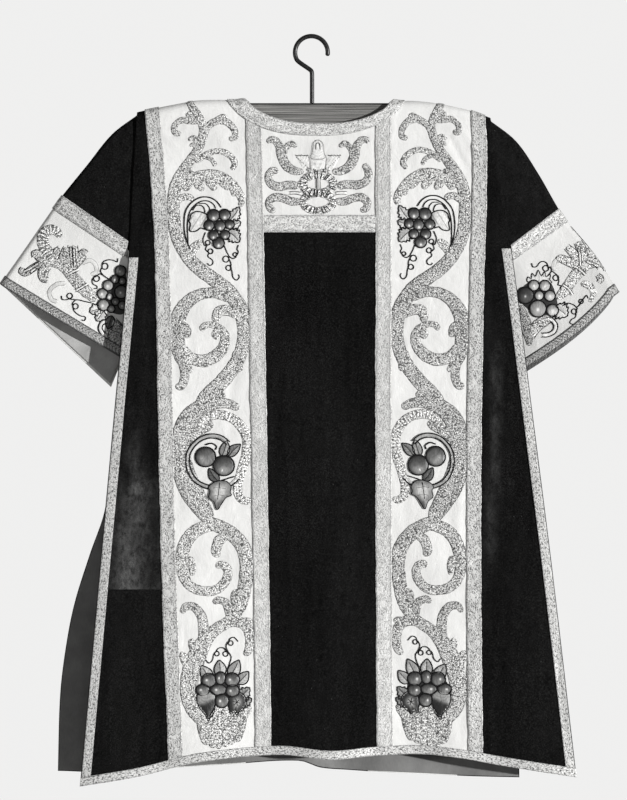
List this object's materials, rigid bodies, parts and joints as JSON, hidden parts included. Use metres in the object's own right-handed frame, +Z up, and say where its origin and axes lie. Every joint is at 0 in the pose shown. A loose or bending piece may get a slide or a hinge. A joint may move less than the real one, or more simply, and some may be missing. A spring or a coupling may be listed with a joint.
{
  "type": "dalmatic on a hanger",
  "caption": "Wide-sleeved vestment of black velvet with pale embroidered silk bands and woven galloon, hanging flat on a straight wooden hanger.",
  "frame": {"origin": "inside of the top of the hanger's hook, where a rail or a wall hook carries it", "axes": "+Z up; the front of the garment faces -Y; +X is on the right of somebody who looks at the front"},
  "size_m": [0.9615, 0.0717, 1.1628],
  "materials": {
    "velvet": "cut pile, worn in streaks",
    "silk": "ivory silk with metal-thread embroidery on the front and cuffs",
    "galloon": "woven metallic braid",
    "lining": "plain matt lining",
    "wood": "planed, unvarnished",
    "iron": "dark wire"
  },
  "bodies": {
    "root": {"front_centre": "velvet", "front_side_upper_l": "velvet", "front_side_upper_r": "velvet", "front_side_lower_l": "velvet", "front_side_lower_r": "velvet", "back_centre": "velvet", "back_side_l": "velvet", "back_side_r": "velvet", "sleeve_l": "velvet", "sleeve_r": "velvet", "front_apron": "silk", "front_orphrey_l": "silk", "front_orphrey_r": "silk", "back_orphrey_l": "silk", "back_orphrey_r": "silk", "cuff_l": "silk", "cuff_r": "silk", "front_galloon_l_outer": "galloon", "front_galloon_l_inner": "galloon", "front_galloon_r_inner": "galloon", "front_galloon_r_outer": "galloon", "front_galloon_apron": "galloon", "front_galloon_edge_l": "galloon", "front_galloon_edge_r": "galloon", "front_galloon_hem": "galloon", "back_galloon_l_outer": "galloon", "back_galloon_l_inner": "galloon", "back_galloon_r_inner": "galloon", "back_galloon_r_outer": "galloon", "back_galloon_edge_l": "galloon", "back_galloon_edge_r": "galloon", "back_galloon_hem": "galloon", "neck_galloon_front": "galloon", "neck_galloon_back": "galloon", "sleeve_galloon_l": "galloon", "sleeve_galloon_r": "galloon", "cuff_galloon_l": "galloon", "cuff_galloon_r": "galloon", "lining_back": "lining", "lining_sleeve_l": "lining", "lining_sleeve_r": "lining", "hanger_bar": "wood", "hanger_hook": "iron"}
  },
  "joints": []
}
